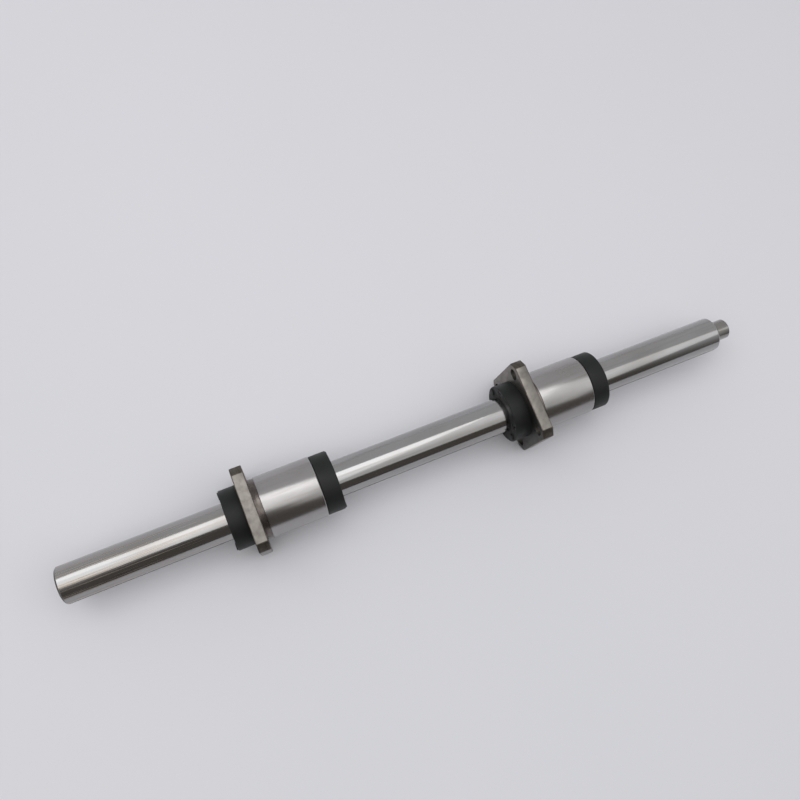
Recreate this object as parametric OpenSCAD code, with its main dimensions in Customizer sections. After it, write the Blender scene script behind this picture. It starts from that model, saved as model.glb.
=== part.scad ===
// Ball spline: a ground round shaft with two raceways, and two flanged nuts that slide on it.
// X runs along the shaft towards its turned end, Z is up, and the origin is on the axis at mid length.

/* [Shaft] */
// Diameter of the ground shaft
shaft_d = 13.6; // [13:0.1:18]
// Length of the ground shaft, without its turned end
shaft_len = 266; // [240:1:400]
// Chamfer at both ends of the ground shaft
shaft_chamfer = 0.6; // [0.2:0.1:1]
// Diameter of the turned end
stub_d = 8; // [5:0.5:10]
// Length of the turned end
stub_len = 7; // [4:0.5:20]
// Chamfer on the turned end
stub_chamfer = 0.5; // [0.2:0.1:1]
// Depth of each raceway in the shaft
raceway_depth = 0.6; // [0.45:0.05:0.7]

/* [Nuts] */
// Wall of a nut outside its returning balls
return_wall = 0.6; // [0.5:0.05:1.5]
// Length of a nut's body behind its flange
body_len = 23.5; // [16:0.5:36]
// Chamfer at the body's free edge
body_chamfer = 0.5; // [0.2:0.1:0.6]
// Width of the unground relief ring beside the flange
relief_w = 2.2; // [1:0.1:4]
// Depth of the relief ring
relief_depth = 0.25; // [0.1:0.05:0.3]
// Running gap between the shaft and a nut's bore
bore_gap = 0.3; // [0.25:0.05:0.4]
// Distance from the shaft's plain end to the left nut's flange
left_nut_from_end = 66; // [20:1:80]
// Distance from the left nut's flange to the right nut's
nut_spacing = 110.3; // [80:0.1:130]

/* [Flange] */
// Distance from a nut's ground body to the bolt axes
bolt_out = 4.5; // [4:0.1:8]
// Distance from a bolt axis to the nearest flats of the square flange
flange_edge = 4.2; // [3:0.1:8]
// Length that each corner chamfer takes off a flat
flange_corner = 2.8; // [1:0.1:4]
// Thickness of the flange
flange_t = 4.4; // [3:0.1:8]
// Bevel round both faces of the flange
flange_bevel = 0.3; // [0.1:0.1:0.6]
// Diameter of the bolt holes
bolt_hole_d = 4.5; // [3:0.1:4.8]

/* [Ball circuits] */
// Diameter of the balls
ball_d = 2; // [1.8:0.05:2.1]
// Gap between a ball and the wall of its track
track_gap = 0.05; // [0.03:0.01:0.08]
// Least gap between two balls
ball_gap = 0.03; // [0.02:0.01:0.1]
// Distance between the loaded row of balls and the returning row
row_web = 0.6; // [0.5:0.05:0.7]
// Diameter of the wires that keep the loaded balls in the nut
wire_d = 0.4; // [0.3:0.05:0.5]
// Gap between a wire and what lies beside it
wire_gap = 0.04; // [0.03:0.01:0.06]

/* [End caps] */
// Length of an end cap
cap_len = 6.5; // [6:0.1:10]
// How far a cap's rim lies inside the ground body
cap_setback = 0.2; // [0.1:0.05:0.3]
// Chamfer round a cap's outer face
cap_chamfer = 0.2; // [0.1:0.05:0.6]
// Height of the boss over each ball turn
boss_h = 0.5; // [0.3:0.1:0.9]
// Land on the cap's face beside a boss
boss_land = 0.15; // [0.1:0.05:0.3]
// Chamfer round a boss
boss_chamfer = 0.2; // [0.1:0.05:0.25]
// Thickness of an end seal
seal_t = 1.6; // [1:0.1:2]
// Gap between a seal's lip and the shaft
seal_gap = 0.08; // [0.05:0.01:0.15]
// Wall between a cap's seal and its screw recesses
seal_wall = 0.4; // [0.3:0.05:0.6]
// Thread diameter of the cap screws
screw_d = 1.6; // [1.2:0.1:1.8]
// Head diameter of the cap screws
screw_head_d = 2.4; // [2:0.1:2.6]
// Head height of the cap screws
screw_head_h = 1.3; // [0.8:0.1:1.6]
// Depth of a screw's thread in the nut
screw_bite = 4; // [2:0.5:6]
// Gap round a screw and its head
screw_gap = 0.1; // [0.05:0.05:0.15]
// Wall between a screw's recess and the cap's rim
screw_wall = 0.35; // [0.3:0.05:0.5]

/* [Hidden] */
$fn = 96;
// Room that a cut takes beyond the faces it opens
past = 1;
left_end = -(shaft_len + stub_len) / 2;
left_nut_x = left_end + left_nut_from_end;
right_nut_x = left_nut_x + nut_spacing;
shaft_r = shaft_d / 2;
bore_r = shaft_r + bore_gap;
sleeve_len = flange_t + body_len;

// A ball's track goes out along the shaft, round a half turn in a cap and back through the nut's wall
track_r = ball_d / 2 + track_gap;
loaded_r = shaft_r - raceway_depth + track_r;
return_r = loaded_r + ball_d + row_web;
middle_r = (loaded_r + return_r) / 2;
turn_r = (return_r - loaded_r) / 2;
turn_len = PI * turn_r;
circuit_len = 2 * (sleeve_len + turn_len);
// Balls stand closest across a half turn, so the turn sets how many fit
turn_step = 2 * asin((ball_d + ball_gap) / (2 * turn_r));
ball_count = floor(circuit_len / (turn_len * turn_step / 180));
ball_pitch = circuit_len / ball_count;
// A half turn is cut a little past the cap's face
turn_overrun = 10;

// Each wire lies between the shaft, the loaded balls and the bore
wire_r = wire_d / 2;
wire_at_r = shaft_r + wire_gap + wire_r;
wire_to_ball = (ball_d + wire_d) / 2 + wire_gap;
wire_angle = acos((loaded_r ^ 2 + wire_at_r ^ 2 - wire_to_ball ^ 2) / (2 * loaded_r * wire_at_r));

// The nut is as large as its returning balls need, and the flange as its bolts need
nut_r = return_r + track_r + return_wall;
bolt_at_r = nut_r + bolt_out;
flange_w = 2 * (bolt_at_r * cos(45) + flange_edge);

cap_r = nut_r - cap_setback;
screw_recess_r = screw_head_d / 2 + screw_gap;
screw_at_r = cap_r - screw_wall - screw_recess_r;
screw_recess_h = screw_head_h + screw_gap;
screw_hole_r = screw_d / 2 + screw_gap;
screw_angles = [45, 135, 225, 315];
hex_depth = screw_head_h / 2;
hex_d = screw_head_d / 2;
seal_r = screw_at_r - screw_recess_r - seal_wall;
// A boss takes up the cap's face between the seal and the rim
face_r = cap_r - cap_chamfer;
boss_at_r = (face_r + seal_r) / 2;
boss_r = (face_r - seal_r) / 2 - boss_land;

// Corners of the flange's outline, drawn in by an even margin
function flange_outline(margin) =
    let (flat = flange_w / 2 - margin)
    let (corner = flat - flange_corner + margin * (2 - sqrt(2)))
    [
        [flat, -corner], [flat, corner], [corner, flat], [-corner, flat],
        [-flat, corner], [-flat, -corner], [-corner, -flat], [corner, -flat]
    ];

// Place on a circuit as [along, out], at a distance from its start at the flange's outer face
function circuit_point(distance) =
    let (out_end = sleeve_len, back_start = sleeve_len + turn_len)
    let (back_end = back_start + sleeve_len)
    let (tail_turn = 180 * (distance - out_end) / turn_len)
    let (flange_turn = 180 * (distance - back_end) / turn_len)
    distance <= out_end ? [distance, loaded_r]
    : distance <= back_start ? [sleeve_len + turn_r * sin(tail_turn), middle_r - turn_r * cos(tail_turn)]
    : distance <= back_end ? [back_end - distance, return_r]
    : [-turn_r * sin(flange_turn), middle_r + turn_r * cos(flange_turn)];

// Turns what stands along Z to lie along X
module along_x() {
    rotate([0, 90, 0]) children();
}

module x_rod(radius, from, to) {
    translate([from, 0, 0]) along_x() cylinder(r = radius, h = to - from);
}

// Copies on the front (-1) and back (1) side of the axis, or on one of them
module at_sides(radius, sides = [-1, 1]) {
    for (side = sides) translate([0, side * radius, 0]) children();
}

module at_screws() {
    for (angle = screw_angles) rotate([angle, 0, 0]) translate([0, screw_at_r, 0]) children();
}

module at_wires(sides = [-1, 1]) {
    for (side = sides, lean = [-1, 1])
        rotate([lean * wire_angle, 0, 0]) translate([0, side * wire_at_r, 0]) children();
}

module at_left_nut() {
    translate([left_nut_x, 0, 0]) children();
}

module at_right_nut() {
    translate([right_nut_x, 0, 0]) children();
}

// The caps of a nut stand on its two end faces, and each one's outside is towards +X before it is placed
module at_flange_end() {
    mirror([1, 0, 0]) children();
}

module at_tail_end() {
    translate([sleeve_len, 0, 0]) children();
}

// The shaft's cross section, grown all round by a gap
module shaft_section(gap) {
    difference() {
        circle(r = shaft_r + gap);
        for (side = [-1, 1]) translate([0, side * loaded_r]) circle(r = track_r - gap);
    }
}

// The shaft is turned to this profile before its raceways are ground
module shaft_blank() {
    end = shaft_len + stub_len;
    along_x() rotate_extrude() polygon([
        [0, 0],
        [shaft_r - shaft_chamfer, 0],
        [shaft_r, shaft_chamfer],
        [shaft_r, shaft_len - shaft_chamfer],
        [shaft_r - shaft_chamfer, shaft_len],
        [stub_d / 2, shaft_len],
        [stub_d / 2, end - stub_chamfer],
        [stub_d / 2 - stub_chamfer, end],
        [0, end]
    ]);
}

module spline_shaft() {
    color("gainsboro") translate([left_end, 0, 0]) difference() {
        shaft_blank();
        at_sides(loaded_r) x_rod(track_r, -past, shaft_len + past);
    }
}

// The square flange, with its outer edges bevelled on both faces
module flange_plate() {
    hull() {
        along_x() linear_extrude(flange_t) polygon(flange_outline(flange_bevel));
        translate([flange_bevel, 0, 0]) along_x()
            linear_extrude(flange_t - 2 * flange_bevel) polygon(flange_outline(0));
    }
}

// The round body, which starts inside the flange
module body_barrel() {
    relief_end = flange_t + relief_w;
    relief_r = nut_r - relief_depth;
    along_x() rotate_extrude() polygon([
        [0, flange_t / 2],
        [relief_r, flange_t / 2],
        [relief_r, relief_end],
        [nut_r, relief_end],
        [nut_r, sleeve_len - body_chamfer],
        [nut_r - body_chamfer, sleeve_len],
        [0, sleeve_len]
    ]);
}

module bolt_holes() {
    for (angle = [45:90:315]) rotate([angle, 0, 0]) translate([0, bolt_at_r, 0])
        x_rod(bolt_hole_d / 2, -past, flange_t + past);
}

module flanged_sleeve() {
    hole_end = screw_bite + past;
    color("silver") difference() {
        union() {
            flange_plate();
            body_barrel();
        }
        x_rod(bore_r, -past, sleeve_len + past);
        at_sides(loaded_r) x_rod(track_r, -past, sleeve_len + past);
        at_sides(return_r) x_rod(track_r, -past, sleeve_len + past);
        at_wires() x_rod(wire_r + wire_gap, -past, sleeve_len + past);
        bolt_holes();
        at_screws() x_rod(screw_hole_r, -past, hole_end);
        at_screws() x_rod(screw_hole_r, sleeve_len - hole_end, sleeve_len + past);
    }
}

// One side's circuit, with its balls spaced evenly all the way round
module balls(side) {
    color("lightsteelblue") for (i = [0:ball_count - 1]) {
        place = circuit_point(i * ball_pitch);
        translate([place[0], side * place[1], 0]) sphere(d = ball_d);
    }
}

module retainer_wires(side) {
    color("darkgray") at_wires([side]) x_rod(wire_r, 0, sleeve_len);
}

// The half turns that lead the balls between the loaded row and the returning row
module turnarounds() {
    at_sides(middle_r) rotate([0, 0, -90 - turn_overrun])
        rotate_extrude(angle = 180 + 2 * turn_overrun) translate([turn_r, 0]) circle(r = track_r);
}

// A round boss on the cap's outer face, which backs up a half turn
module turn_boss() {
    top = cap_len + boss_h;
    along_x() rotate_extrude() polygon([
        [0, cap_len / 2],
        [boss_r, cap_len / 2],
        [boss_r, top - boss_chamfer],
        [boss_r - boss_chamfer, top],
        [0, top]
    ]);
}

module end_cap() {
    color("#1b1d1c") difference() {
        union() {
            along_x() rotate_extrude() polygon([
                [bore_r, 0],
                [cap_r, 0],
                [cap_r, cap_len - cap_chamfer],
                [cap_r - cap_chamfer, cap_len],
                [bore_r, cap_len]
            ]);
            at_sides(boss_at_r) turn_boss();
        }
        turnarounds();
        x_rod(seal_r, cap_len - seal_t, cap_len + past);
        at_screws() x_rod(screw_hole_r, -past, cap_len);
        at_screws() x_rod(screw_recess_r, cap_len - screw_recess_h, cap_len + past);
    }
}

// The lip follows the shaft all round, into its raceways too
module end_seal() {
    color("#101010") translate([cap_len - seal_t, 0, 0]) along_x() linear_extrude(seal_t) difference() {
        circle(r = seal_r);
        shaft_section(seal_gap);
    }
}

module cap_screws() {
    seat = cap_len - screw_recess_h;
    head_end = seat + screw_head_h;
    color("dimgray") at_screws() difference() {
        union() {
            x_rod(screw_head_d / 2, seat, head_end);
            x_rod(screw_d / 2, -screw_bite, head_end - hex_depth);
        }
        translate([head_end - hex_depth, 0, 0]) along_x() cylinder(d = hex_d, h = hex_depth + past, $fn = 6);
    }
}

spline_shaft();

at_left_nut() flanged_sleeve();  // left_flanged_sleeve
at_left_nut() balls(-1);  // left_front_balls
at_left_nut() balls(1);  // left_back_balls
at_left_nut() retainer_wires(-1);  // left_front_retainer_wires
at_left_nut() retainer_wires(1);  // left_back_retainer_wires
at_left_nut() at_flange_end() end_cap();  // left_flange_end_cap
at_left_nut() at_flange_end() end_seal();  // left_flange_end_seal
at_left_nut() at_flange_end() cap_screws();  // left_flange_end_screws
at_left_nut() at_tail_end() end_cap();  // left_tail_end_cap
at_left_nut() at_tail_end() end_seal();  // left_tail_end_seal
at_left_nut() at_tail_end() cap_screws();  // left_tail_end_screws

at_right_nut() flanged_sleeve();  // right_flanged_sleeve
at_right_nut() balls(-1);  // right_front_balls
at_right_nut() balls(1);  // right_back_balls
at_right_nut() retainer_wires(-1);  // right_front_retainer_wires
at_right_nut() retainer_wires(1);  // right_back_retainer_wires
at_right_nut() at_flange_end() end_cap();  // right_flange_end_cap
at_right_nut() at_flange_end() end_seal();  // right_flange_end_seal
at_right_nut() at_flange_end() cap_screws();  // right_flange_end_screws
at_right_nut() at_tail_end() end_cap();  // right_tail_end_cap
at_right_nut() at_tail_end() end_seal();  // right_tail_end_seal
at_right_nut() at_tail_end() cap_screws();  // right_tail_end_screws
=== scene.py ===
"""A ball spline, with its shaft, two flanged nuts and a pale studio floor, laid out as an add-on."""

import math

import bmesh
import bpy
from bpy.props import FloatProperty, FloatVectorProperty, PointerProperty
from mathutils import Matrix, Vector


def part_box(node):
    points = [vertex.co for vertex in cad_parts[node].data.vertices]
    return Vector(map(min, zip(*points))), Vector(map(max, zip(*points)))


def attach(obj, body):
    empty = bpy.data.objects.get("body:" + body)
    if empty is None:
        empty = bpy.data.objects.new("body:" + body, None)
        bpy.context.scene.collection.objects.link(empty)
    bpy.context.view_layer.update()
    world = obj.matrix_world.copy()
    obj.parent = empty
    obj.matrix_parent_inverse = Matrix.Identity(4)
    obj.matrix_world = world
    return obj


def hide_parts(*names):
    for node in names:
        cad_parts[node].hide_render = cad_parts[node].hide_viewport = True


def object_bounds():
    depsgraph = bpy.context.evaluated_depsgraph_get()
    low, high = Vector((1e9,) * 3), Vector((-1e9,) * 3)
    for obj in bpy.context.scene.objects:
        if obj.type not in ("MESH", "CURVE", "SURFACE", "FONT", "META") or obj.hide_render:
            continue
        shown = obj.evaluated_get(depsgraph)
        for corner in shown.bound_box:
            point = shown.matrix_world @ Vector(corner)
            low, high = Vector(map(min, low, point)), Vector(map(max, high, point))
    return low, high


bl_info = {
    "name": "Ball Spline",
    "version": (1, 0, 0),
    "blender": (4, 5, 0),
    "location": "View3D > Sidebar > Ball Spline",
    "description": "Builds a ball spline with two flanged nuts around its frame",
    "category": "Object",
}

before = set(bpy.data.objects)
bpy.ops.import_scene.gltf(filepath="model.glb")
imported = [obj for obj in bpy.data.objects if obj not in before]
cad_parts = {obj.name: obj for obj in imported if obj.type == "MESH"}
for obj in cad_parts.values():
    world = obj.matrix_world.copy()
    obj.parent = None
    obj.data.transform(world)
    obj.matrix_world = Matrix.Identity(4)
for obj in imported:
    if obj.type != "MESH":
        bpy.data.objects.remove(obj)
CAD_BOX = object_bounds()
MM = 0.001
SIDES = ("left", "right")
ENDS = ("flange", "tail")
RING_STEPS = 192
HOLE_STEPS = 48
TURN_STEPS = 24
SHARP_ANGLE = math.radians(28)
# Material slots of the shaft and of a sleeve
GROUND, TURNED, PLAIN_END, RACEWAY = range(4)
FLATS, BODY, RELIEF, SKIN, FACES = range(5)
# Shade of the long streaks in ground steel, as a share of its colour
STREAK_SHADE = (0.80, 0.78, 0.75)
# Stretch along the shaft over which its fine lines thin out, and the share that stays; the lines' warm colour
# is a painted reflection, their roughness is the steel's own
REFLECTION_DENSE, REFLECTION_SPARSE, REFLECTION_LEFT = -120 * MM, -70 * MM, 0.25
# Stretch from front to back over which the painted shade on the flange's faces fades out
SHADE_FULL, SHADE_END = -6 * MM, 8 * MM
# Heights of the fine relief in the finishes
SATIN_GRAIN, COARSE_GRAIN, RESIN_GRAIN, SMALL_GRAIN = 0.004 * MM, 0.01 * MM, 0.008 * MM, 0.002 * MM
# The room goes from its near tone to its far tone between these, by Y plus a share of X squared
ROOM_NEAR, ROOM_FAR, ROOM_SIDES = -0.55, 0.15, 0.9
SHAFT_LOW, SHAFT_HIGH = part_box("spline_shaft")
CAP_LOW, CAP_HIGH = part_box("left_flange_end_cap")
# Name, place along and across the row, length, width and radiance of each overhead lamp
LAMPS = (
    ("far_lamp", -0.330, 0.260, 1.00, 0.345, 1.50),
    ("near_lamp", -0.330, -0.157, 1.00, 0.490, 1.08),
    ("right_lamp", 0.630, -0.122, 0.92, 1.015, 0.62),
)


def length(name, description, default_mm):
    """A length that a user may change, given in millimetres."""
    return FloatProperty(
        name=name, description=description, default=default_mm * MM, min=0.0, subtype="DISTANCE", unit="LENGTH"
    )


def colour(name, description, default):
    """A linear colour that a user may change."""
    return FloatVectorProperty(
        name=name, description=description, default=default, size=3, min=0.0, max=1.0, subtype="COLOR"
    )


def share(name, description, default, highest=1.0):
    """A plain number from nought, such as a roughness."""
    return FloatProperty(name=name, description=description, default=default, min=0.0, max=highest)


class ShaftSettings(bpy.types.PropertyGroup):
    """Sizes and finish of the shaft."""

    diameter: length("Diameter", "Diameter of the ground shaft", 13.6)
    chamfer: length("Chamfer", "Chamfer at both ends of the ground shaft", 0.6)
    stub_diameter: length("Stub diameter", "Diameter of the turned end", 8.0)
    stub_length: length("Stub length", "Length of the turned end", 7.0)
    stub_chamfer: length("Stub chamfer", "Chamfer on the turned end", 0.5)
    raceway_radius: length("Raceway radius", "Radius of each raceway's round groove", 1.05)
    raceway_out: length("Raceway place", "Distance from the axis to the middle of a raceway", 7.25)
    edge_round: length("Edge round", "Round on the turned edges", 0.12)
    steel: colour("Steel", "Colour of the ground shaft", (0.386, 0.387, 0.388))
    tint: colour("Tint", "Warm tint in the worn stretches", (0.325, 0.316, 0.306))
    # Painted reflection: the warm colour of the lines near the plain end stands in for a warm reflection in the
    # steel.
    rubbed: colour("Rubbed steel", "Colour of the rubbed lines near the plain end", (0.42, 0.355, 0.285))
    turned: colour("Turned steel", "Colour of the turned end", (0.31, 0.30, 0.285))
    turned_tint: colour("Turned tint", "Darker tone in the turned end", (0.22, 0.21, 0.19))
    # Painted shade: the raceway grooves are coloured dark to stand in for the shade that falls in them.
    groove_shade: colour("Grease", "Colour of the raceways under old grease", (0.115, 0.105, 0.092))
    groove_shade_tint: colour("Grease tint", "Darker tone in the raceways", (0.060, 0.054, 0.046))
    skin: colour("Skin", "Colour of the dark skin on the plain end", (0.10, 0.092, 0.082))
    skin_tint: colour("Skin tint", "Darker tone in the plain end's skin", (0.05, 0.046, 0.040))
    roughness: share("Roughness", "Roughness of the ground shaft", 0.12)
    line_roughness: share("Rubbed roughness", "Roughness of the rubbed lines", 0.54)
    turned_roughness: share("Turned roughness", "Roughness of the turned end", 0.20)
    groove_roughness: share("Grease roughness", "Roughness of the raceways", 0.24)
    skin_roughness: share("Skin roughness", "Roughness of the plain end's skin", 0.36)
    grind: length("Grinding", "Depth of the grinding marks", 0.0012)
    turning: length("Turning", "Depth of the turning marks on the turned end", 0.002)


class SleeveSettings(bpy.types.PropertyGroup):
    """Sizes and finish of the nuts' flanged sleeves."""

    diameter: length("Diameter", "Diameter of the ground body", 23.0)
    bore: length("Bore", "Diameter of the bore", 14.2)
    body_chamfer: length("Body chamfer", "Chamfer at the body's free edge", 0.5)
    relief_width: length("Relief width", "Width of the dark relief ring beside the flange", 2.2)
    relief_depth: length("Relief depth", "Depth of the relief ring", 0.25)
    flange_thickness: length("Flange thickness", "Thickness of the square flange", 4.4)
    flange_corner: length("Flange corner", "Length that a corner chamfer takes off a flat", 2.8)
    flange_bevel: length("Flange bevel", "Bevel round the flange's faces", 0.3)
    bolt_circle: length("Bolt circle", "Diameter of the bolt circle", 32.0)
    bolt_hole: length("Bolt hole", "Diameter of the bolt holes", 4.5)
    return_out: length("Return place", "Distance from the axis to a returning row of balls", 9.85)
    wire_out: length("Wire place", "Distance of a wire in front of or behind the axis", 6.937)
    wire_up: length("Wire height", "Distance of a wire above or below the axis", 1.2)
    wire_groove: length("Wire groove", "Diameter of the groove round a wire", 0.48)
    edge_round: length("Edge round", "Round on the turned edges", 0.12)
    ground: colour("Ground steel", "Colour of the ground body", (0.39, 0.38, 0.375))
    ground_tint: colour("Ground tint", "Darker tone in the ground body", (0.32, 0.31, 0.30))
    ground_roughness: share("Ground roughness", "Roughness of the ground body", 0.22)
    grind: length("Grinding", "Depth of the grinding marks", 0.002)
    milled: colour("Milled steel", "Colour of the flange", (0.245, 0.229, 0.208))
    milled_tint: colour("Milled tint", "Darker tone in the flange", (0.172, 0.160, 0.145))
    milled_roughness: share("Milled roughness", "Roughness of the flange", 0.40)
    # Painted shade: this dark colour is laid on the front half of the flange's faces to stand in for shade.
    painted_shade: colour("Oil stain", "Oil stain on the front half of the flange's faces", (0.075, 0.076, 0.070))
    relief: colour("Relief", "Colour of the relief ring", (0.215, 0.188, 0.172))
    relief_tint: colour("Relief tint", "Darker tone in the relief ring", (0.13, 0.112, 0.10))
    relief_roughness: share("Relief roughness", "Roughness of the relief ring", 0.30)
    skin: colour("Skin", "Colour of the dark skin on the flange's bevels and corners", (0.136, 0.119, 0.099))
    skin_tint: colour("Skin tint", "Darker tone in the dark skin", (0.060, 0.053, 0.045))
    skin_roughness: share("Skin roughness", "Roughness of the dark skin", 0.42)


class CapSettings(bpy.types.PropertyGroup):
    """Sizes and finish of the end caps, their screws and their seals."""

    diameter: length("Diameter", "Diameter of an end cap", 22.6)
    bore: length("Bore", "Diameter of a cap's bore", 14.2)
    chamfer: length("Chamfer", "Chamfer round a cap's outer face", 0.2)
    edge_round: length("Edge round", "Round on the moulded edges", 0.1)
    boss_height: length("Boss height", "Height of the boss over each ball turn", 0.5)
    boss_diameter: length("Boss diameter", "Diameter of a boss", 2.85)
    boss_out: length("Boss place", "Distance from the axis to a boss", 9.525)
    seal_diameter: length("Seal diameter", "Diameter of the seal's recess", 15.9)
    seal_depth: length("Seal depth", "Depth of the seal's recess", 1.6)
    screw_out: length("Screw place", "Distance from the axis to a screw", 9.65)
    recess_diameter: length("Recess diameter", "Diameter of a screw's recess", 2.6)
    recess_depth: length("Recess depth", "Depth of a screw's recess", 1.4)
    head_diameter: length("Head diameter", "Diameter of a screw's head", 2.4)
    head_height: length("Head height", "Height of a screw's head", 1.3)
    hex_width: length("Hex width", "Width of the hexagon socket across its corners", 1.2)
    thread_diameter: length("Thread diameter", "Diameter of a screw's thread", 1.6)
    thread_length: length("Thread length", "Length of a screw below its head", 9.1)
    screw_hole: length("Screw hole", "Diameter of the holes round the screws' threads", 1.8)
    hole_depth: length("Hole depth", "Depth of those holes in a sleeve", 5.0)
    resin: colour("Resin", "Colour of the moulded caps", (0.012, 0.0135, 0.0125))
    resin_worn: colour("Worn resin", "Colour along the rubbed edges", (0.022, 0.025, 0.023))
    rubber: colour("Rubber", "Colour of the seals", (0.010, 0.010, 0.010))
    rubber_dust: colour("Rubber dust", "Dusty tone on the seals", (0.022, 0.021, 0.020))
    screw: colour("Screws", "Colour of the blackened screws", (0.045, 0.045, 0.048))
    screw_worn: colour("Worn screws", "Bare tone on the screws", (0.16, 0.16, 0.16))
    screw_roughness: share("Screw roughness", "Roughness of the screws", 0.38)


class InsideSettings(bpy.types.PropertyGroup):
    """Finish of the balls and the wires inside the nuts."""

    ball: colour("Balls", "Colour of the polished balls", (0.66, 0.66, 0.67))
    ball_tint: colour("Ball tint", "Oil film on the balls", (0.52, 0.50, 0.46))
    ball_roughness: share("Ball roughness", "Roughness of the balls", 0.08)
    wire: colour("Wires", "Colour of the drawn wires", (0.46, 0.46, 0.47))
    wire_tint: colour("Wire tint", "Darker tone along the wires", (0.32, 0.31, 0.30))
    wire_roughness: share("Wire roughness", "Roughness of the wires", 0.26)


class StageSettings(bpy.types.PropertyGroup):
    """Floor, lamps and camera."""

    floor: colour("Floor", "Colour of the pale floor", (0.755, 0.75, 0.79))
    floor_shade: colour("Floor shade", "Slightly darker tone of the floor", (0.725, 0.73, 0.765))
    floor_size: length("Floor size", "Width of the floor", 6000.0)
    sky_far: colour("Far wall", "Light from behind the object", (0.59, 0.59, 0.60))
    sky_near: colour("Near side", "Light from the near side", (0.108, 0.098, 0.088))
    lamp_height: length("Lamp height", "Height of the overhead lamps", 800.0)
    lamp_turn: FloatProperty(
        name="Lamp turn", description="Turn of the row of lamps about the vertical",
        default=math.radians(-25), subtype="ANGLE"
    )
    lamp_level: share("Lamp level", "Brightness of the overhead lamps", 1.04, 10.0)
    camera_place: FloatVectorProperty(
        name="Camera place", description="Place of the camera",
        default=(-0.06409, -0.02756, 0.28833), subtype="XYZ"
    )
    camera_turn: FloatVectorProperty(
        name="Camera turn", description="Turn of the camera",
        default=[math.radians(angle) for angle in (12.960, -7.827, -22.338)], subtype="EULER"
    )
    camera_lens: FloatProperty(name="Lens", description="Focal length in millimetres", default=35.206)
    camera_sensor: FloatProperty(name="Sensor", description="Width of the sensor in millimetres", default=36.0)


def turned(profile, closed=False, round_edges=0.0, steps=RING_STEPS):
    """A bmesh turned about the X axis from a profile of (along, radius) points."""
    shape = bmesh.new()
    points = [shape.verts.new((along, 0.0, radius)) for along, radius in profile]
    pairs = list(zip(points, points[1:]))
    if closed:
        pairs.append((points[-1], points[0]))
    lines = [shape.edges.new(pair) for pair in pairs]
    bmesh.ops.spin(
        shape, geom=points + lines, cent=(0, 0, 0), axis=(1, 0, 0), angle=math.tau, steps=steps, use_merge=True
    )
    bmesh.ops.remove_doubles(shape, verts=shape.verts, dist=1e-7)
    bmesh.ops.recalc_face_normals(shape, faces=shape.faces)
    if round_edges:
        round_sharp(shape, round_edges)
    return shape


def round_sharp(shape, radius, segments=3):
    """Rounds every sharp edge of a bmesh."""
    sharp = [edge for edge in shape.edges if edge.calc_face_angle(0.0) > SHARP_ANGLE]
    bmesh.ops.bevel(
        shape, geom=sharp, offset=radius, segments=segments, profile=0.5, affect="EDGES", material=-1,
        clamp_overlap=True
    )


def rods(places, radius, start, end, steps=HOLE_STEPS):
    """A bmesh of like round rods along X, at (y, z) places."""
    shape = bmesh.new()
    for y, z in places:
        lie = Matrix.Translation(((start + end) / 2, y, z)) @ Matrix.Rotation(math.pi / 2, 4, "Y")
        bmesh.ops.create_cone(
            shape, cap_ends=True, segments=steps, radius1=radius, radius2=radius, depth=end - start, matrix=lie
        )
    return shape


def ring_places(radius, count, first=0.0):
    """Places spaced evenly on a circle round the axis, as (y, z)."""
    angles = [math.radians(first) + math.tau * i / count for i in range(count)]
    return [(radius * math.cos(angle), radius * math.sin(angle)) for angle in angles]


def new_object(name, shape, materials=()):
    """An object in the scene that takes over a bmesh."""
    mesh = bpy.data.meshes.new(name)
    shape.to_mesh(mesh)
    shape.free()
    for material in materials:
        mesh.materials.append(material)
    thing = bpy.data.objects.new(name, mesh)
    bpy.context.scene.collection.objects.link(thing)
    return thing


def combine(target, tool_shape, operation="DIFFERENCE", materials=()):
    """Cuts a bmesh out of an object, or joins it on, and keeps the result as the object's mesh."""
    tool = new_object(target.name + ".tool", tool_shape, materials)
    change = target.modifiers.new("change", "BOOLEAN")
    change.object = tool
    change.operation = operation
    change.solver = "EXACT"
    bpy.context.view_layer.update()
    view = bpy.context.evaluated_depsgraph_get()
    result = bpy.data.meshes.new_from_object(target.evaluated_get(view), depsgraph=view)
    old = target.data
    target.modifiers.clear()
    target.data = result
    result.name = target.name
    bpy.data.meshes.remove(old)
    bpy.data.meshes.remove(tool.data)


def settle(thing, body, slot, *nodes):
    """Smooths a finished piece, ties it to its body and hides the solids it stands for; its slot argument is
    not used.
    """
    thing.data.shade_smooth()
    thing.data.set_sharp_from_angle(angle=SHARP_ANGLE)
    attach(thing, body)
    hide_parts(*nodes)


def cap_depth(cap):
    """Length of an end cap from the sleeve to its outer face, without the bosses."""
    return CAP_HIGH.x - CAP_LOW.x - cap.boss_height


def place_at_end(shape, side, end):
    """Moves a bmesh made on the YZ plane, with its outside towards +X, onto one end of a nut."""
    low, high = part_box(f"{side}_flanged_sleeve")
    if end == "flange":
        bmesh.ops.scale(shape, verts=shape.verts, vec=(-1, 1, 1))
        bmesh.ops.reverse_faces(shape, faces=shape.faces)
    bmesh.ops.translate(shape, verts=shape.verts, vec=(high.x if end == "tail" else low.x, 0, 0))


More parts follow.
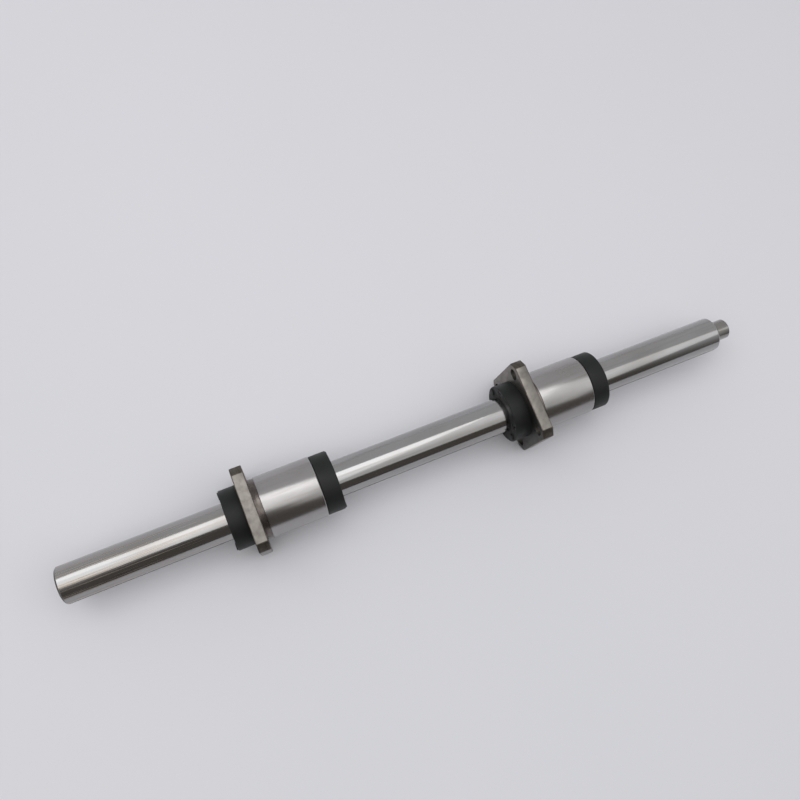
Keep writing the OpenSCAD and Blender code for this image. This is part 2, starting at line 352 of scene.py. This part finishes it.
class Finish:
    """A procedural material on Object coordinates."""

    def __init__(self, name, metallic):
        self.material = bpy.data.materials.new(name)
        self.material.use_nodes = True
        self.tree = self.material.node_tree
        self.shader = self.tree.nodes["Principled BSDF"]
        self.shader.inputs["Metallic"].default_value = metallic
        self.place = self.add("ShaderNodeTexCoord").outputs["Object"]

    def add(self, kind, **settings):
        node = self.tree.nodes.new(kind)
        for name, value in settings.items():
            setattr(node, name, value)
        return node

    def link(self, output, socket):
        self.tree.links.new(output, socket)

    def stretched(self, stretch):
        """Object coordinates, scaled along each axis."""
        node = self.add("ShaderNodeMapping")
        node.inputs["Scale"].default_value = stretch
        self.link(self.place, node.inputs["Vector"])
        return node.outputs["Vector"]

    def noise(self, stretch, detail=3.0, roughness=0.55):
        """Noise with the given number of grains per metre along each axis."""
        node = self.add("ShaderNodeTexNoise")
        node.inputs["Scale"].default_value = 1.0
        node.inputs["Detail"].default_value = detail
        node.inputs["Roughness"].default_value = roughness
        self.link(self.stretched(stretch), node.inputs["Vector"])
        return node.outputs["Fac"]

    def ranged(self, value, low, high, start=0.3, end=0.7):
        node = self.add("ShaderNodeMapRange")
        for name, number in zip(("From Min", "From Max", "To Min", "To Max"), (start, end, low, high)):
            node.inputs[name].default_value = number
        self.link(value, node.inputs["Value"])
        return node.outputs["Result"]

    def combined(self, operation, first, second):
        """Two values brought together by a math operation."""
        node = self.add("ShaderNodeMath", operation=operation)
        self.link(first, node.inputs[0])
        self.link(second, node.inputs[1])
        return node.outputs["Value"]

    def mixed(self, share_of_second, first, second):
        """A colour between two, by a value."""
        node = self.add("ShaderNodeMix", data_type="RGBA")
        self.link(share_of_second, node.inputs["Factor"])
        for name, tone in (("A", first), ("B", second)):
            socket = next(s for s in node.inputs if s.name == name and s.type == "RGBA")
            if isinstance(tone, bpy.types.NodeSocket):
                self.link(tone, socket)
            else:
                socket.default_value = (*tone, 1.0)
        return next(s for s in node.outputs if s.type == "RGBA")

    def colour(self, output):
        self.link(output, self.shader.inputs["Base Color"])

    def roughness(self, output):
        self.link(output, self.shader.inputs["Roughness"])

    def bump(self, height, depth, strength=1.0):
        """Fine relief of the given depth in metres."""
        node = self.add("ShaderNodeBump")
        node.inputs["Strength"].default_value = strength
        node.inputs["Distance"].default_value = depth
        self.link(height, node.inputs["Height"])
        if self.shader.inputs["Normal"].is_linked:
            self.link(self.shader.inputs["Normal"].links[0].from_socket, node.inputs["Normal"])
        self.link(node.outputs["Normal"], self.shader.inputs["Normal"])


def reflection_and_rough_lines(finish):
    """Fine lines along the axis, dense near the shaft's plain end and sparse elsewhere, as a share."""
    split = finish.add("ShaderNodeSeparateXYZ")
    finish.link(finish.place, split.inputs["Vector"])
    near_end = finish.ranged(split.outputs["X"], 1.0, REFLECTION_LEFT, REFLECTION_DENSE, REFLECTION_SPARSE)
    lines = finish.ranged(finish.noise((18, 3200, 3200), detail=2), 0.0, 1.0, 0.50, 0.66)
    return finish.combined("MULTIPLY", near_end, lines)


def ground_steel(name, tone, tint, roughness, grind_depth, rubbed=None, line_roughness=0.0):
    """Steel ground on centres: fine rings round the axis, patches, long streaks, and optional rougher lines
    whose warm colour is a painted reflection.
    """
    finish = Finish(name, 1.0)
    patches = finish.noise((35, 90, 90), detail=4)
    streaks = finish.noise((25, 900, 900), detail=2)
    rings = finish.noise((5200, 70, 70), detail=2)
    toned = finish.mixed(finish.ranged(patches, 0.0, 1.0, 0.45, 0.80), tone, tint)
    dark = [part * shade for part, shade in zip(tone, STREAK_SHADE)]
    surface = finish.mixed(finish.ranged(streaks, 0.0, 1.0, 0.55, 0.85), toned, dark)
    rough = finish.ranged(patches, roughness * 0.8, roughness * 1.3)
    if rubbed is not None:
        lines = reflection_and_rough_lines(finish)
        # Painted reflection: the lines take the warm colour; their roughness below is real.
        surface = finish.mixed(lines, surface, rubbed)
        rough = finish.combined("MAXIMUM", rough, finish.ranged(lines, 0.0, line_roughness, 0.0, 1.0))
    finish.colour(surface)
    finish.roughness(rough)
    finish.bump(rings, grind_depth)
    return finish.material


def milled_steel(name, tone, tint, roughness):
    """Satin milled steel with a mottled surface film."""
    finish = Finish(name, 1.0)
    mottle = finish.noise((420, 420, 420), detail=5)
    grain = finish.noise((5000, 5000, 5000), detail=2)
    finish.colour(finish.mixed(finish.ranged(mottle, 0.0, 1.0, 0.35, 0.75), tone, tint))
    finish.roughness(finish.ranged(mottle, roughness * 0.85, roughness * 1.2))
    finish.bump(grain, SATIN_GRAIN)
    return finish.material


def shaded_face_steel(name, tone, tint, painted_shade):
    """Satin steel with painted shade darkening its front half."""
    finish = Finish(name, 1.0)
    mottle = finish.noise((420, 420, 420), detail=5)
    split = finish.add("ShaderNodeSeparateXYZ")
    finish.link(finish.place, split.inputs["Vector"])
    # Painted shade: full at the front, fading out towards the back.
    shade_share = finish.ranged(split.outputs["Y"], 1.0, 0.0, SHADE_FULL, SHADE_END)
    bare = finish.mixed(finish.ranged(mottle, 0.0, 1.0, 0.35, 0.75), tone, tint)
    finish.colour(finish.mixed(shade_share, bare, painted_shade))
    finish.roughness(finish.ranged(mottle, 0.36, 0.5))
    finish.bump(finish.noise((5000, 5000, 5000), detail=2), SATIN_GRAIN)
    return finish.material


def oxide_steel(name, tone, tint, roughness):
    """Hardened steel left brown where no wheel or cutter has been."""
    finish = Finish(name, 0.9)
    scale = finish.noise((900, 400, 400), detail=5)
    finish.colour(finish.mixed(finish.ranged(scale, 0.0, 1.0), tone, tint))
    finish.roughness(finish.ranged(scale, roughness * 0.8, roughness * 1.2))
    finish.bump(scale, COARSE_GRAIN)
    return finish.material


def moulded_resin(name, tone, worn):
    """Black moulded resin with a fine spark grain and paler rubbed edges."""
    finish = Finish(name, 0.0)
    grain = finish.noise((4200, 4200, 4200), detail=3)
    haze = finish.noise((260, 260, 260), detail=4)
    edges = finish.add("ShaderNodeNewGeometry").outputs["Pointiness"]
    rubbed = finish.mixed(finish.ranged(haze, 0.0, 0.35, 0.45, 0.8), tone, worn)
    finish.colour(finish.mixed(finish.ranged(edges, 0.0, 0.6, 0.54, 0.66), rubbed, worn))
    finish.roughness(finish.ranged(haze, 0.42, 0.56))
    finish.shader.inputs["Specular IOR Level"].default_value = 0.25
    finish.bump(grain, RESIN_GRAIN)
    return finish.material


def soft_rubber(name, tone, dust):
    """Matte seal rubber with a dusty film."""
    finish = Finish(name, 0.0)
    film = finish.noise((700, 700, 700), detail=4)
    finish.colour(finish.mixed(finish.ranged(film, 0.0, 1.0, 0.4, 0.8), tone, dust))
    finish.roughness(finish.ranged(film, 0.62, 0.82))
    finish.bump(finish.noise((3000, 3000, 3000)), COARSE_GRAIN)
    return finish.material


def small_steel(name, tone, tint, roughness, stretch):
    """Plain bright or blackened steel of small pieces, with a grain of the given stretch."""
    finish = Finish(name, 1.0)
    grain = finish.noise(stretch, detail=3)
    finish.colour(finish.mixed(finish.ranged(grain, 0.0, 1.0, 0.4, 0.8), tone, tint))
    finish.roughness(finish.ranged(grain, roughness * 0.8, roughness * 1.25))
    finish.bump(grain, SMALL_GRAIN)
    return finish.material


def repaint(node, material):
    """Gives a solid of the frame a better material."""
    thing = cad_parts[node]
    thing.data.materials.clear()
    thing.data.materials.append(material)


class BALLSPLINE_OT_shaft(bpy.types.Operator):
    """Turn the ground shaft with its stub and grind its two raceways"""

    bl_idname = "ballspline.shaft"
    bl_label = "Shaft"

    def execute(self, context):
        shaft = context.scene.ball_spline_shaft
        start, end = SHAFT_LOW.x, SHAFT_HIGH.x
        shoulder = end - shaft.stub_length
        radius, stub = shaft.diameter / 2, shaft.stub_diameter / 2
        blank = turned(
            [
                (start, 0.0),
                (start, radius - shaft.chamfer),
                (start + shaft.chamfer, radius),
                (shoulder - shaft.chamfer, radius),
                (shoulder, radius - shaft.chamfer),
                (shoulder, stub),
                (end - shaft.stub_chamfer, stub),
                (end, stub - shaft.stub_chamfer),
                (end, 0.0),
            ],
            round_edges=shaft.edge_round,
        )
        for face in blank.faces:
            along = face.calc_center_median().x
            if along > shoulder - shaft.edge_round:
                face.material_index = TURNED
            elif along < start + shaft.chamfer:
                face.material_index = PLAIN_END
            else:
                face.material_index = GROUND
        finishes = [
            ground_steel(
                "shaft_ground_steel", shaft.steel, shaft.tint, shaft.roughness, shaft.grind, shaft.rubbed,
                shaft.line_roughness
            ),
            ground_steel(
                "stub_turned_steel", shaft.turned, shaft.turned_tint, shaft.turned_roughness, shaft.turning
            ),
            oxide_steel("shaft_end_skin", shaft.skin, shaft.skin_tint, shaft.skin_roughness),
            # The raceways' dark colour is painted shade in the grooves.
            small_steel(
                "raceway_shaded_steel", shaft.groove_shade, shaft.groove_shade_tint, shaft.groove_roughness,
                (60, 1800, 1800)
            ),
        ]
        thing = new_object("ground_shaft", blank, finishes)
        raceways = [(side * shaft.raceway_out, 0.0) for side in (-1, 1)]
        past = shaft.stub_length / 2
        tracks = rods(raceways, shaft.raceway_radius, start - past, shoulder + past)
        for face in tracks.faces:
            face.material_index = RACEWAY
        combine(thing, tracks, materials=finishes)
        settle(thing, "shaft", "shaft_steel", "spline_shaft")
        return {"FINISHED"}


class BALLSPLINE_OT_sleeves(bpy.types.Operator):
    """Make the two flanged sleeves, with ground bodies and satin flanges"""

    bl_idname = "ballspline.sleeves"
    bl_label = "Flanged sleeves"

    def flange(self, sleeve, low, high):
        """The square flange with cut corners and bevelled edges."""
        shape = bmesh.new()
        middle = low.x + sleeve.flange_thickness / 2
        bmesh.ops.create_cube(shape, size=1.0)
        bmesh.ops.scale(shape, verts=shape.verts, vec=(sleeve.flange_thickness, high.y - low.y, high.z - low.z))
        bmesh.ops.translate(shape, verts=shape.verts, vec=(middle, 0, 0))
        along = [e for e in shape.edges if abs(e.verts[0].co.x - e.verts[1].co.x) > sleeve.flange_thickness / 2]
        bmesh.ops.bevel(
            shape, geom=along, offset=sleeve.flange_corner, segments=1, profile=0.5, affect="EDGES", material=-1
        )
        round_sharp(shape, sleeve.flange_bevel, segments=2)
        for face in shape.faces:
            if abs(face.normal.x) > 0.99:
                face.material_index = FACES
            elif max(map(abs, face.normal)) > 0.99:
                face.material_index = FLATS
            else:
                face.material_index = SKIN
        return shape

    def barrel(self, sleeve, low, high):
        """The round body, from inside the flange to its free end."""
        radius, bore = sleeve.diameter / 2, sleeve.bore / 2
        start = low.x + sleeve.flange_thickness / 2
        relief_end = low.x + sleeve.flange_thickness + sleeve.relief_width
        shape = turned(
            [
                (start, bore),
                (start, radius - sleeve.relief_depth),
                (relief_end, radius - sleeve.relief_depth),
                (relief_end, radius),
                (high.x - sleeve.body_chamfer, radius),
                (high.x, radius - sleeve.body_chamfer),
                (high.x, bore),
            ],
            closed=True,
            round_edges=sleeve.edge_round,
        )
        for face in shape.faces:
            face.material_index = RELIEF if face.calc_center_median().x < relief_end else BODY
        return shape

    def execute(self, context):
        sleeve = context.scene.ball_spline_sleeve
        shaft = context.scene.ball_spline_shaft
        cap = context.scene.ball_spline_cap
        rows = [(way * out, 0.0) for way in (-1, 1) for out in (shaft.raceway_out, sleeve.return_out)]
        wires = [(way * sleeve.wire_out, lean * sleeve.wire_up) for way in (-1, 1) for lean in (-1, 1)]
        screws = ring_places(cap.screw_out, 4, 45)
        finishes = [
            milled_steel("flange_milled_steel", sleeve.milled, sleeve.milled_tint, sleeve.milled_roughness),
            ground_steel(
                "body_ground_steel", sleeve.ground, sleeve.ground_tint, sleeve.ground_roughness, sleeve.grind
            ),
            oxide_steel("relief_oxide", sleeve.relief, sleeve.relief_tint, sleeve.relief_roughness),
            oxide_steel("flange_skin", sleeve.skin, sleeve.skin_tint, sleeve.skin_roughness),
            # The flange's faces carry painted shade on their front half.
            shaded_face_steel("flange_face_shaded_steel", sleeve.milled, sleeve.milled_tint, sleeve.painted_shade),
        ]
        for side in SIDES:
            low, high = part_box(f"{side}_flanged_sleeve")
            past = sleeve.flange_thickness
            start, end = low.x - past, high.x + past
            thing = new_object(f"{side}_sleeve", self.flange(sleeve, low, high), finishes)
            combine(thing, self.barrel(sleeve, low, high), "UNION", finishes)
            bore = rods([(0.0, 0.0)], sleeve.bore / 2, start, end, RING_STEPS)
            combine(thing, bore, materials=finishes)
            holes = ring_places(sleeve.bolt_circle / 2, 4, 45)
            drill = rods(holes, sleeve.bolt_hole / 2, start, low.x + 2 * past)
            combine(thing, drill, materials=finishes)
            combine(thing, rods(rows, shaft.raceway_radius, start, end), materials=finishes)
            combine(thing, rods(wires, sleeve.wire_groove / 2, start, end), materials=finishes)
            for hole_start, hole_end in ((start, low.x + cap.hole_depth), (high.x - cap.hole_depth, end)):
                combine(thing, rods(screws, cap.screw_hole / 2, hole_start, hole_end), materials=finishes)
            settle(thing, f"{side}_nut", "nut_steel", f"{side}_flanged_sleeve")
        return {"FINISHED"}


class BALLSPLINE_OT_end_caps(bpy.types.Operator):
    """Mould the four black end caps"""

    bl_idname = "ballspline.end_caps"
    bl_label = "End caps"

    def boss(self, cap, depth, way):
        """A round boss over a ball turn, at the front or the back of the cap's face."""
        top, radius = depth + cap.boss_height, cap.boss_diameter / 2
        shape = turned(
            [(depth / 2, 0.0), (depth / 2, radius), (top, radius), (top, 0.0)], round_edges=cap.edge_round
        )
        bmesh.ops.translate(shape, verts=shape.verts, vec=(0, way * cap.boss_out, 0))
        return shape

    def half_turn(self, shaft, sleeve, way):
        """A ring-shaped track across the sleeve's end face, with no corner on that face."""
        middle = (sleeve.return_out + shaft.raceway_out) / 2
        ring = (sleeve.return_out - shaft.raceway_out) / 2
        section = ring_places(shaft.raceway_radius, TURN_STEPS)
        shape = turned([(along, ring + out) for along, out in section], closed=True, steps=TURN_STEPS)
        lie = Matrix.Rotation(math.pi / TURN_STEPS, 3, "Z") @ Matrix.Rotation(math.pi / 2, 3, "Y")
        bmesh.ops.rotate(shape, verts=shape.verts, matrix=lie)
        bmesh.ops.translate(shape, verts=shape.verts, vec=(0, way * middle, 0))
        return shape

    def execute(self, context):
        cap = context.scene.ball_spline_cap
        shaft = context.scene.ball_spline_shaft
        sleeve = context.scene.ball_spline_sleeve
        resin = moulded_resin("cap_resin", cap.resin, cap.resin_worn)
        screws = ring_places(cap.screw_out, 4, 45)
        depth = cap_depth(cap)
        radius, bore, seat = cap.diameter / 2, cap.bore / 2, cap.seal_diameter / 2
        for side in SIDES:
            for end in ENDS:
                shape = turned(
                    [
                        (0.0, bore),
                        (0.0, radius),
                        (depth - cap.chamfer, radius),
                        (depth, radius - cap.chamfer),
                        (depth, seat),
                        (depth - cap.seal_depth, seat),
                        (depth - cap.seal_depth, bore),
                    ],
                    closed=True,
                    round_edges=cap.edge_round,
                )
                thing = new_object(f"{side}_{end}_cap", shape, [resin])
                for way in (-1, 1):
                    combine(thing, self.boss(cap, depth, way), "UNION", [resin])
                    combine(thing, self.half_turn(shaft, sleeve, way), materials=[resin])
                recesses = rods(screws, cap.recess_diameter / 2, depth - cap.recess_depth, 2 * depth)
                combine(thing, recesses, materials=[resin])
                combine(thing, rods(screws, cap.screw_hole / 2, -depth, depth), materials=[resin])
                placed = bmesh.new()
                placed.from_mesh(thing.data)
                # A cut can leave slivers open on the inner face
                bmesh.ops.holes_fill(placed, edges=[edge for edge in placed.edges if edge.is_boundary])
                place_at_end(placed, side, end)
                placed.to_mesh(thing.data)
                placed.free()
                settle(thing, f"{side}_nut", "cap_resin", f"{side}_{end}_end_cap")
        return {"FINISHED"}


class BALLSPLINE_OT_cap_screws(bpy.types.Operator):
    """Make the socket-head screws that hold the end caps"""

    bl_idname = "ballspline.cap_screws"
    bl_label = "Cap screws"

    def execute(self, context):
        cap = context.scene.ball_spline_cap
        black = small_steel(
            "screw_black_oxide", cap.screw, cap.screw_worn, cap.screw_roughness, (2500, 2500, 2500)
        )
        depth = cap_depth(cap)
        seat = depth - cap.recess_depth
        top = seat + cap.head_height
        tip = seat - cap.thread_length
        head, thread = cap.head_diameter / 2, cap.thread_diameter / 2
        for side in SIDES:
            for end in ENDS:
                screw = turned(
                    [(tip, 0.0), (tip, thread), (seat, thread), (seat, head), (top, head), (top, 0.0)],
                    round_edges=cap.edge_round,
                )
                thing = new_object(f"{side}_{end}_screws", screw, [black])
                socket = rods([(0.0, 0.0)], cap.hex_width / 2, top - cap.head_height / 2, 2 * depth, 6)
                combine(thing, socket, materials=[black])
                group = bmesh.new()
                for y, z in ring_places(cap.screw_out, 4, 45):
                    before = set(group.verts)
                    group.from_mesh(thing.data)
                    added = [vert for vert in group.verts if vert not in before]
                    bmesh.ops.translate(group, verts=added, vec=(0, y, z))
                place_at_end(group, side, end)
                group.to_mesh(thing.data)
                group.free()
                settle(thing, f"{side}_nut", "screw_steel", f"{side}_{end}_end_screws")
        return {"FINISHED"}


class BALLSPLINE_OT_seals(bpy.types.Operator):
    """Finish the four end seals"""

    bl_idname = "ballspline.seals"
    bl_label = "End seals"

    def execute(self, context):
        cap = context.scene.ball_spline_cap
        rubber = soft_rubber("seal_rubber", cap.rubber, cap.rubber_dust)
        for side in SIDES:
            for end in ENDS:
                repaint(f"{side}_{end}_end_seal", rubber)
        return {"FINISHED"}


class BALLSPLINE_OT_ball_circuits(bpy.types.Operator):
    """Finish the balls and the wires that retain them"""

    bl_idname = "ballspline.ball_circuits"
    bl_label = "Ball circuits"

    def execute(self, context):
        inside = context.scene.ball_spline_inside
        ball = small_steel(
            "ball_polished_steel", inside.ball, inside.ball_tint, inside.ball_roughness, (300, 300, 300)
        )
        wire = small_steel(
            "wire_drawn_steel", inside.wire, inside.wire_tint, inside.wire_roughness, (120, 6000, 6000)
        )
        for side in SIDES:
            for row in ("front", "back"):
                repaint(f"{side}_{row}_balls", ball)
                repaint(f"{side}_{row}_retainer_wires", wire)
        return {"FINISHED"}


class BALLSPLINE_OT_stage(bpy.types.Operator):
    """Set the pale floor, the soft lamps and the camera"""

    bl_idname = "ballspline.stage"
    bl_label = "Stage"

    def floor(self, stage):
        finish = Finish("floor_board", 0.0)
        clouds = finish.noise((3, 3, 3), detail=2)
        finish.colour(finish.mixed(finish.ranged(clouds, 0.0, 1.0), stage.floor, stage.floor_shade))
        finish.shader.inputs["Roughness"].default_value = 0.7
        finish.shader.inputs["Specular IOR Level"].default_value = 0.2
        shape = bmesh.new()
        bmesh.ops.create_grid(shape, x_segments=8, y_segments=8, size=stage.floor_size / 2)
        bmesh.ops.translate(shape, verts=shape.verts, vec=(0, 0, CAD_BOX[0][2]))
        new_object("floor", shape, [finish.material])

    def sky(self, stage):
        """A plain room with grey walls and a dark near side, which gives the steel its dark bands."""
        world = bpy.data.worlds.new("studio")
        world.use_nodes = True
        tree = world.node_tree
        back = tree.nodes["Background"]
        place = tree.nodes.new("ShaderNodeTexCoord")
        split = tree.nodes.new("ShaderNodeSeparateXYZ")
        square = tree.nodes.new("ShaderNodeMath")
        square.operation = "MULTIPLY"
        aside = tree.nodes.new("ShaderNodeMath")
        aside.operation = "MULTIPLY_ADD"
        aside.inputs[1].default_value = ROOM_SIDES
        ramp = tree.nodes.new("ShaderNodeMapRange")
        ramp.interpolation_type = "SMOOTHSTEP"
        ramp.inputs["From Min"].default_value = ROOM_NEAR
        ramp.inputs["From Max"].default_value = ROOM_FAR
        mix = tree.nodes.new("ShaderNodeMix")
        mix.data_type = "RGBA"
        tones = [socket for socket in mix.inputs if socket.type == "RGBA"]
        tones[0].default_value = (*stage.sky_near, 1.0)
        tones[1].default_value = (*stage.sky_far, 1.0)
        tree.links.new(place.outputs["Generated"], split.inputs["Vector"])
        for socket in square.inputs[:2]:
            tree.links.new(split.outputs["X"], socket)
        tree.links.new(square.outputs["Value"], aside.inputs[0])
        tree.links.new(split.outputs["Y"], aside.inputs[2])
        tree.links.new(aside.outputs["Value"], ramp.inputs["Value"])
        tree.links.new(ramp.outputs["Result"], mix.inputs["Factor"])
        tree.links.new(next(socket for socket in mix.outputs if socket.type == "RGBA"), back.inputs["Color"])
        bpy.context.scene.world = world

    def lamps(self, stage):
        """Soft panels edge to edge overhead, brightest at the far left."""
        row = Matrix.Translation((0, 0, stage.lamp_height)) @ Matrix.Rotation(stage.lamp_turn, 4, "Z")
        for name, along, across, size, width, glow in LAMPS:
            data = bpy.data.lights.new(name, "AREA")
            data.shape = "RECTANGLE"
            data.size = size
            data.size_y = width
            data.energy = math.pi * size * width * glow * stage.lamp_level
            thing = bpy.data.objects.new(name, data)
            thing.matrix_world = row @ Matrix.Translation((along, across, 0))
            bpy.context.scene.collection.objects.link(thing)

    def camera(self, stage):
        data = bpy.data.cameras.new("camera")
        data.sensor_fit = "HORIZONTAL"
        data.sensor_width = stage.camera_sensor
        data.lens = stage.camera_lens
        data.clip_start = 0.01
        thing = bpy.data.objects.new("camera", data)
        thing.location = stage.camera_place
        thing.rotation_euler = stage.camera_turn
        bpy.context.scene.collection.objects.link(thing)
        bpy.context.scene.camera = thing

    def execute(self, context):
        stage = context.scene.ball_spline_stage
        self.floor(stage)
        self.sky(stage)
        self.lamps(stage)
        self.camera(stage)
        context.scene.view_settings.view_transform = "Standard"
        return {"FINISHED"}


class BALLSPLINE_PT_panel(bpy.types.Panel):
    """The steps that build the ball spline"""

    bl_idname = "BALLSPLINE_PT_panel"
    bl_label = "Ball Spline"
    bl_space_type = "VIEW_3D"
    bl_region_type = "UI"
    bl_category = "Ball Spline"

    def draw(self, context):
        for operator in OPERATORS:
            self.layout.operator(operator.bl_idname)


SETTINGS = {
    "ball_spline_shaft": ShaftSettings,
    "ball_spline_sleeve": SleeveSettings,
    "ball_spline_cap": CapSettings,
    "ball_spline_inside": InsideSettings,
    "ball_spline_stage": StageSettings,
}
OPERATORS = (
    BALLSPLINE_OT_stage,
    BALLSPLINE_OT_shaft,
    BALLSPLINE_OT_sleeves,
    BALLSPLINE_OT_end_caps,
    BALLSPLINE_OT_cap_screws,
    BALLSPLINE_OT_seals,
    BALLSPLINE_OT_ball_circuits,
)


def register():
    for kind in (*SETTINGS.values(), *OPERATORS, BALLSPLINE_PT_panel):
        bpy.utils.register_class(kind)
    for name, kind in SETTINGS.items():
        setattr(bpy.types.Scene, name, PointerProperty(type=kind))


def unregister():
    for name in SETTINGS:
        delattr(bpy.types.Scene, name)
    for kind in reversed((*SETTINGS.values(), *OPERATORS, BALLSPLINE_PT_panel)):
        bpy.utils.unregister_class(kind)


def main():
    register()
    for step in (
        bpy.ops.ballspline.stage,
        bpy.ops.ballspline.shaft,
        bpy.ops.ballspline.sleeves,
        bpy.ops.ballspline.end_caps,
        bpy.ops.ballspline.cap_screws,
        bpy.ops.ballspline.seals,
        bpy.ops.ballspline.ball_circuits,
    ):
        step()


if __name__ == "__main__":
    main()
